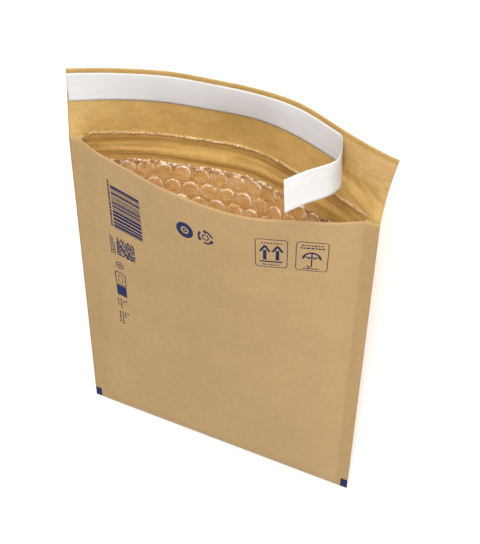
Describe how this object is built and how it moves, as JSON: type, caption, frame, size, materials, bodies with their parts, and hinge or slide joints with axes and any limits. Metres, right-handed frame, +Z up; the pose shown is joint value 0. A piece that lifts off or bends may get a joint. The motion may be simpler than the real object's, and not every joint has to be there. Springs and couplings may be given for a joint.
{
  "type": "padded envelope",
  "caption": "Open padded mailing envelope of kraft paper with a bubble lining, a flap and a half-peeled adhesive liner, lying on its back.",
  "frame": {"origin": "centre of the bounding box's underside, on the surface it lies on", "axes": "+X across the envelope, +Y from the bottom fold to the flap, +Z up out of the printed front"},
  "size_m": [0.242, 0.3366, 0.0816],
  "materials": {
    "kraft_paper": "matte, brown kraft",
    "bubble_film": "clear film over kraft",
    "adhesive": "clear hot melt, tacky",
    "release_paper": "silicone coated, satin"
  },
  "bodies": {
    "root": {"kraft_envelope": "kraft_paper", "bubble_lining": "bubble_film", "adhesive_strip": "adhesive", "release_liner": "release_paper"}
  },
  "joints": []
}
